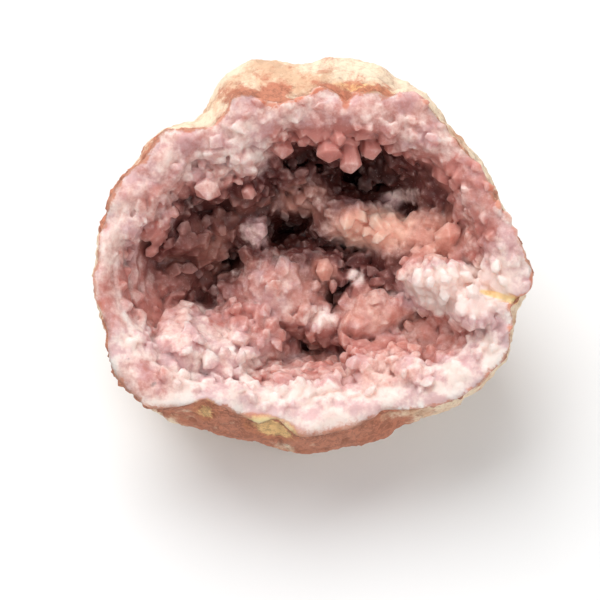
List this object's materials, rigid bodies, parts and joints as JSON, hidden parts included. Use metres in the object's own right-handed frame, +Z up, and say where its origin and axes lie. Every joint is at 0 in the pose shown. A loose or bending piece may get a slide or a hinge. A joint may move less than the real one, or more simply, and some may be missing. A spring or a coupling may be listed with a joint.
{
  "type": "pink amethyst geode half",
  "caption": "Broken half of a hollow stone nodule lined with pink quartz crystals, lying on its rounded back with the hollow open upwards.",
  "frame": {"origin": "middle of the part's box, on the flat that it rests on", "axes": "+X to the right along the longest way across, +Z up, -Y towards the side that the hollow leans to; the opening's normal is 24 degrees from +Z towards -Y"},
  "size_m": [0.0844, 0.0732, 0.0515],
  "materials": {
    "stone": "matt grainy rind, ochre to salmon, with a sugary pinkish white quartz band where it is broken",
    "crystal": "milky, waxy to glassy dusty pink quartz"
  },
  "bodies": {
    "root": {"shell": "stone", "crystal_crust": "crystal"}
  },
  "joints": []
}
